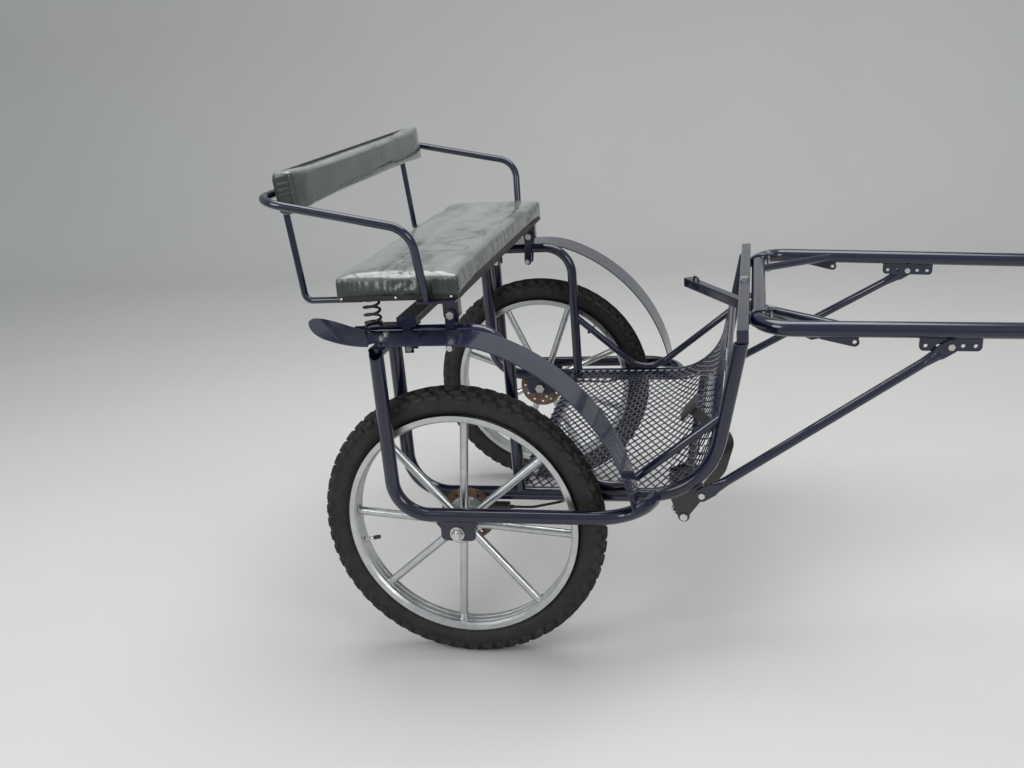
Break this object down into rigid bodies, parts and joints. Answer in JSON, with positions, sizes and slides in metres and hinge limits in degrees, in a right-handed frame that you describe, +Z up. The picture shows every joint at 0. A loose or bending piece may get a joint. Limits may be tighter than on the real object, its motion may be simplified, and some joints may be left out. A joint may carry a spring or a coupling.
{
  "type": "trotting sulky",
  "caption": "Two-wheeled tube-framed horse cart with a sprung bench seat, mesh footwell, wheel guards, fenders, shafts, singletree and foot brake.",
  "frame": {"origin": "on the ground, in the middle of the cart's overall length and width", "axes": "+X forward along the shafts, +Y to the driver's left, +Z up"},
  "size_m": [2.5733, 1.15, 1.1408],
  "materials": {
    "navy_paint": "gloss",
    "zinc": "satin",
    "silver_paint": "satin",
    "tyre_black": "matt",
    "black_rubber": "matt",
    "black_paint": "semi-gloss",
    "rusty_steel": "matt",
    "dark_vinyl": "semi-gloss",
    "dark_board": "satin",
    "black_plastic": "matt"
  },
  "bodies": {
    "cart_frame": {"side_frame_right": "navy_paint", "side_frame_left": "navy_paint", "wheel_guard_right": "navy_paint", "wheel_guard_left": "navy_paint", "axle_plates": "navy_paint", "seat_rails": "navy_paint", "side_braces": "navy_paint", "floor_crossbars": "navy_paint", "dash_crossbar": "navy_paint", "floor_mesh": "navy_paint", "fenders": "navy_paint", "shaft_right": "navy_paint", "shaft_left": "navy_paint", "shaft_crossbar": "navy_paint", "shaft_braces": "navy_paint", "crossbar_clamps": "navy_paint", "strut_brackets": "navy_paint", "shaft_struts": "navy_paint", "holdback_eyes": "navy_paint", "singletree_bracket": "navy_paint", "frame_bolts": "zinc", "axle_bolts": "zinc", "master_cylinder": "zinc", "brake_line_right": "black_rubber", "brake_line_left": "black_rubber", "brake_calipers": "black_paint", "line_clips": "black_paint", "pedal_bracket": "black_paint"},
    "wheel_right": {"tyre_right": "tyre_black", "inner_tube_right": "black_rubber", "rim_right": "silver_paint", "spokes_right": "silver_paint", "hub_right": "silver_paint", "bearings_right": "zinc", "brake_disc_right": "rusty_steel", "disc_bolts_right": "zinc"},
    "wheel_left": {"tyre_left": "tyre_black", "inner_tube_left": "black_rubber", "rim_left": "silver_paint", "spokes_left": "silver_paint", "hub_left": "silver_paint", "bearings_left": "zinc", "brake_disc_left": "rusty_steel", "disc_bolts_left": "zinc"},
    "seat_carriage": {"rail_clamps": "navy_paint", "rail_clamp_bolts": "zinc", "seat_crossbar": "navy_paint", "seat_springs": "black_paint"},
    "seat": {"seat_board": "dark_board", "seat_cushion": "dark_vinyl", "seat_ears": "navy_paint", "arm_rail": "navy_paint", "back_struts": "navy_paint", "backrest_board": "dark_board", "backrest_cushion": "dark_vinyl"},
    "singletree": {"singletree": "navy_paint", "singletree_caps": "black_plastic", "trace_loops": "navy_paint"},
    "brake_pedal": {"brake_pedal": "black_paint"},
    "cylinder_pushrod": {"pushrod": "zinc"}
  },
  "joints": [
    {"name": "wheel_right_spin", "type": "hinge", "parent": "cart_frame", "child": "wheel_right", "pos_m": [-0.89375, -0.5, 0.33], "axis": [0, 1, 0], "continuous": true},
    {"name": "wheel_left_spin", "type": "hinge", "parent": "cart_frame", "child": "wheel_left", "pos_m": [-0.89375, 0.5, 0.33], "axis": [0, 1, 0], "continuous": true},
    {"name": "seat_slide", "type": "slide", "parent": "cart_frame", "child": "seat_carriage", "axis": [1, 0, 0], "range_m": [0, 0.04]},
    {"name": "seat_tilt", "type": "hinge", "parent": "seat_carriage", "child": "seat", "pos_m": [-0.89075, 0, 0.807], "axis": [0, 1, 0], "range_deg": [-6, 1.5], "stiffness_Nm_per_rad": 1400, "springref_deg": 0.69, "deforming": ["seat_springs"]},
    {"name": "singletree_swing", "type": "hinge", "parent": "cart_frame", "child": "singletree", "pos_m": [-0.26584, 0, 0.694], "axis": [0, 0, 1], "range_deg": [-64, 3]},
    {"name": "brake_pedal_press", "type": "hinge", "parent": "cart_frame", "child": "brake_pedal", "pos_m": [-0.40675, -0.33, 0.28], "axis": [0, 1, 0], "range_deg": [0, 7.5], "stiffness_Nm_per_rad": 20, "springref_deg": -8.59},
    {"name": "pushrod_slide", "type": "slide", "parent": "cart_frame", "child": "cylinder_pushrod", "axis": [0.5793, 0, 0.8151], "range_m": [0, 0.0035]}
  ],
  "couplings": [
    {"joint": "pushrod_slide", "follows": "brake_pedal_press", "m_per_rad": 0.024}
  ]
}
